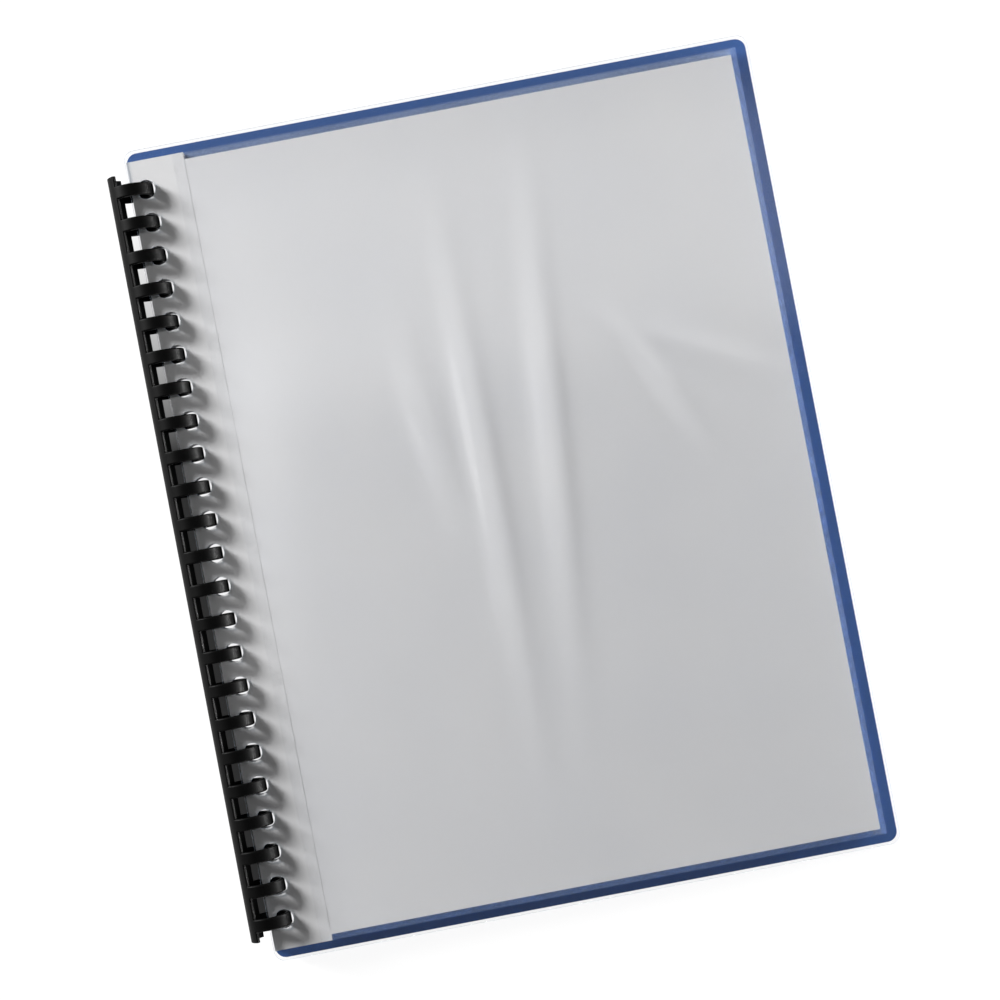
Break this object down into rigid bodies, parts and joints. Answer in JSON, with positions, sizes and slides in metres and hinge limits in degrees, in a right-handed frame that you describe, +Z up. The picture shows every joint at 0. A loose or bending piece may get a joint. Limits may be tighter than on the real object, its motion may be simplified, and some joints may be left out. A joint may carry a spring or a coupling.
{
  "type": "clear pocket display book",
  "caption": "Ring-comb display book with a clear front cover, a coloured back cover and clear A4 pocket leaves that hold paper inserts.",
  "frame": {"origin": "on the table under the middle of the closed book", "axes": "+X from the ring comb to the fore-edge, +Y up the page to the pocket mouths, +Z up from the table"},
  "size_m": [0.247, 0.31, 0.0165],
  "materials": {
    "comb": "moulded black polypropylene, satin",
    "back_cover": "extruded blue polypropylene sheet",
    "front_cover": "clear polypropylene sheet",
    "pocket_film": "clear cast polypropylene film",
    "binding_strip": "frosted polypropylene strip",
    "insert_paper": "plain uncoated paper"
  },
  "bodies": {
    "back_cover": {"back_cover": "back_cover"},
    "spine": {"lower_comb": "comb"},
    "upper_comb": {"upper_comb": "comb"},
    "front_cover": {"front_cover": "front_cover"},
    "pocket_01": {"pocket_01_back_film": "pocket_film", "pocket_01_binding_strip": "binding_strip", "pocket_01_edge_welds": "pocket_film", "pocket_01_front_film": "pocket_film"},
    "insert_01": {"pocket_01_insert_sheet": "insert_paper"},
    "pocket_02": {"pocket_02_back_film": "pocket_film", "pocket_02_binding_strip": "binding_strip", "pocket_02_edge_welds": "pocket_film", "pocket_02_front_film": "pocket_film"},
    "insert_02": {"pocket_02_insert_sheet": "insert_paper"},
    "pocket_03": {"pocket_03_back_film": "pocket_film", "pocket_03_binding_strip": "binding_strip", "pocket_03_edge_welds": "pocket_film", "pocket_03_front_film": "pocket_film"},
    "insert_03": {"pocket_03_insert_sheet": "insert_paper"},
    "pocket_04": {"pocket_04_back_film": "pocket_film", "pocket_04_binding_strip": "binding_strip", "pocket_04_edge_welds": "pocket_film", "pocket_04_front_film": "pocket_film"},
    "insert_04": {"pocket_04_insert_sheet": "insert_paper"},
    "pocket_05": {"pocket_05_back_film": "pocket_film", "pocket_05_binding_strip": "binding_strip", "pocket_05_edge_welds": "pocket_film", "pocket_05_front_film": "pocket_film"},
    "insert_05": {"pocket_05_insert_sheet": "insert_paper"},
    "pocket_06": {"pocket_06_back_film": "pocket_film", "pocket_06_binding_strip": "binding_strip", "pocket_06_edge_welds": "pocket_film", "pocket_06_front_film": "pocket_film"},
    "insert_06": {"pocket_06_insert_sheet": "insert_paper"},
    "pocket_07": {"pocket_07_back_film": "pocket_film", "pocket_07_binding_strip": "binding_strip", "pocket_07_edge_welds": "pocket_film", "pocket_07_front_film": "pocket_film"},
    "insert_07": {"pocket_07_insert_sheet": "insert_paper"},
    "pocket_08": {"pocket_08_back_film": "pocket_film", "pocket_08_binding_strip": "binding_strip", "pocket_08_edge_welds": "pocket_film", "pocket_08_front_film": "pocket_film"},
    "insert_08": {"pocket_08_insert_sheet": "insert_paper"},
    "pocket_09": {"pocket_09_back_film": "pocket_film", "pocket_09_binding_strip": "binding_strip", "pocket_09_edge_welds": "pocket_film", "pocket_09_front_film": "pocket_film"},
    "insert_09": {"pocket_09_insert_sheet": "insert_paper"},
    "pocket_10": {"pocket_10_back_film": "pocket_film", "pocket_10_binding_strip": "binding_strip", "pocket_10_edge_welds": "pocket_film", "pocket_10_front_film": "pocket_film"},
    "insert_10": {"pocket_10_insert_sheet": "insert_paper"}
  },
  "joints": [
    {"name": "spine_roll", "type": "hinge", "parent": "back_cover", "child": "spine", "pos_m": [-0.11525, 0, 0.00825], "axis": [0, -1, 0], "range_deg": [0, 80]},
    {"name": "front_cover_turn", "type": "hinge", "parent": "spine", "child": "front_cover", "pos_m": [-0.11525, 0, 0.00825], "axis": [0, -1, 0], "range_deg": [0, 102]},
    {"name": "comb_open", "type": "hinge", "parent": "spine", "child": "upper_comb", "pos_m": [-0.12305, 0, 0.00825], "axis": [0, 1, 0], "range_deg": [-40, 0]},
    {"name": "pocket_01_turn", "type": "hinge", "parent": "spine", "child": "pocket_01", "pos_m": [-0.11525, 0, 0.00825], "axis": [0, -1, 0], "range_deg": [-7.28, 0]},
    {"name": "insert_01_slide", "type": "slide", "parent": "pocket_01", "child": "insert_01", "axis": [0, 1, 0], "range_m": [0, 0.285]},
    {"name": "pocket_02_turn", "type": "hinge", "parent": "spine", "child": "pocket_02", "pos_m": [-0.11525, 0, 0.00825], "axis": [0, -1, 0], "range_deg": [-14.55, 0]},
    {"name": "insert_02_slide", "type": "slide", "parent": "pocket_02", "child": "insert_02", "axis": [0, 1, 0], "range_m": [0, 0.285]},
    {"name": "pocket_03_turn", "type": "hinge", "parent": "spine", "child": "pocket_03", "pos_m": [-0.11525, 0, 0.00825], "axis": [0, -1, 0], "range_deg": [-21.83, 0]},
    {"name": "insert_03_slide", "type": "slide", "parent": "pocket_03", "child": "insert_03", "axis": [0, 1, 0], "range_m": [0, 0.285]},
    {"name": "pocket_04_turn", "type": "hinge", "parent": "spine", "child": "pocket_04", "pos_m": [-0.11525, 0, 0.00825], "axis": [0, -1, 0], "range_deg": [-29.1, 0]},
    {"name": "insert_04_slide", "type": "slide", "parent": "pocket_04", "child": "insert_04", "axis": [0, 1, 0], "range_m": [0, 0.285]},
    {"name": "pocket_05_turn", "type": "hinge", "parent": "spine", "child": "pocket_05", "pos_m": [-0.11525, 0, 0.00825], "axis": [0, -1, 0], "range_deg": [-36.37, 0]},
    {"name": "insert_05_slide", "type": "slide", "parent": "pocket_05", "child": "insert_05", "axis": [0, 1, 0], "range_m": [0, 0.285]},
    {"name": "pocket_06_turn", "type": "hinge", "parent": "spine", "child": "pocket_06", "pos_m": [-0.11525, 0, 0.00825], "axis": [0, -1, 0], "range_deg": [-43.65, 0]},
    {"name": "insert_06_slide", "type": "slide", "parent": "pocket_06", "child": "insert_06", "axis": [0, 1, 0], "range_m": [0, 0.285]},
    {"name": "pocket_07_turn", "type": "hinge", "parent": "spine", "child": "pocket_07", "pos_m": [-0.11525, 0, 0.00825], "axis": [0, -1, 0], "range_deg": [-50.92, 0]},
    {"name": "insert_07_slide", "type": "slide", "parent": "pocket_07", "child": "insert_07", "axis": [0, 1, 0], "range_m": [0, 0.285]},
    {"name": "pocket_08_turn", "type": "hinge", "parent": "spine", "child": "pocket_08", "pos_m": [-0.11525, 0, 0.00825], "axis": [0, -1, 0], "range_deg": [-58.19, 0]},
    {"name": "insert_08_slide", "type": "slide", "parent": "pocket_08", "child": "insert_08", "axis": [0, 1, 0], "range_m": [0, 0.285]},
    {"name": "pocket_09_turn", "type": "hinge", "parent": "spine", "child": "pocket_09", "pos_m": [-0.11525, 0, 0.00825], "axis": [0, -1, 0], "range_deg": [-65.47, 0]},
    {"name": "insert_09_slide", "type": "slide", "parent": "pocket_09", "child": "insert_09", "axis": [0, 1, 0], "range_m": [0, 0.285]},
    {"name": "pocket_10_turn", "type": "hinge", "parent": "spine", "child": "pocket_10", "pos_m": [-0.11525, 0, 0.00825], "axis": [0, -1, 0], "range_deg": [-72.74, 0]},
    {"name": "insert_10_slide", "type": "slide", "parent": "pocket_10", "child": "insert_10", "axis": [0, 1, 0], "range_m": [0, 0.285]}
  ],
  "couplings": [
    {"joint": "pocket_01_turn", "follows": "spine_roll", "ratio": -0.090909},
    {"joint": "pocket_02_turn", "follows": "spine_roll", "ratio": -0.18182},
    {"joint": "pocket_03_turn", "follows": "spine_roll", "ratio": -0.27273},
    {"joint": "pocket_04_turn", "follows": "spine_roll", "ratio": -0.36364},
    {"joint": "pocket_05_turn", "follows": "spine_roll", "ratio": -0.45455},
    {"joint": "pocket_06_turn", "follows": "spine_roll", "ratio": -0.54545},
    {"joint": "pocket_07_turn", "follows": "spine_roll", "ratio": -0.63636},
    {"joint": "pocket_08_turn", "follows": "spine_roll", "ratio": -0.72727},
    {"joint": "pocket_09_turn", "follows": "spine_roll", "ratio": -0.81818},
    {"joint": "pocket_10_turn", "follows": "spine_roll", "ratio": -0.90909}
  ]
}
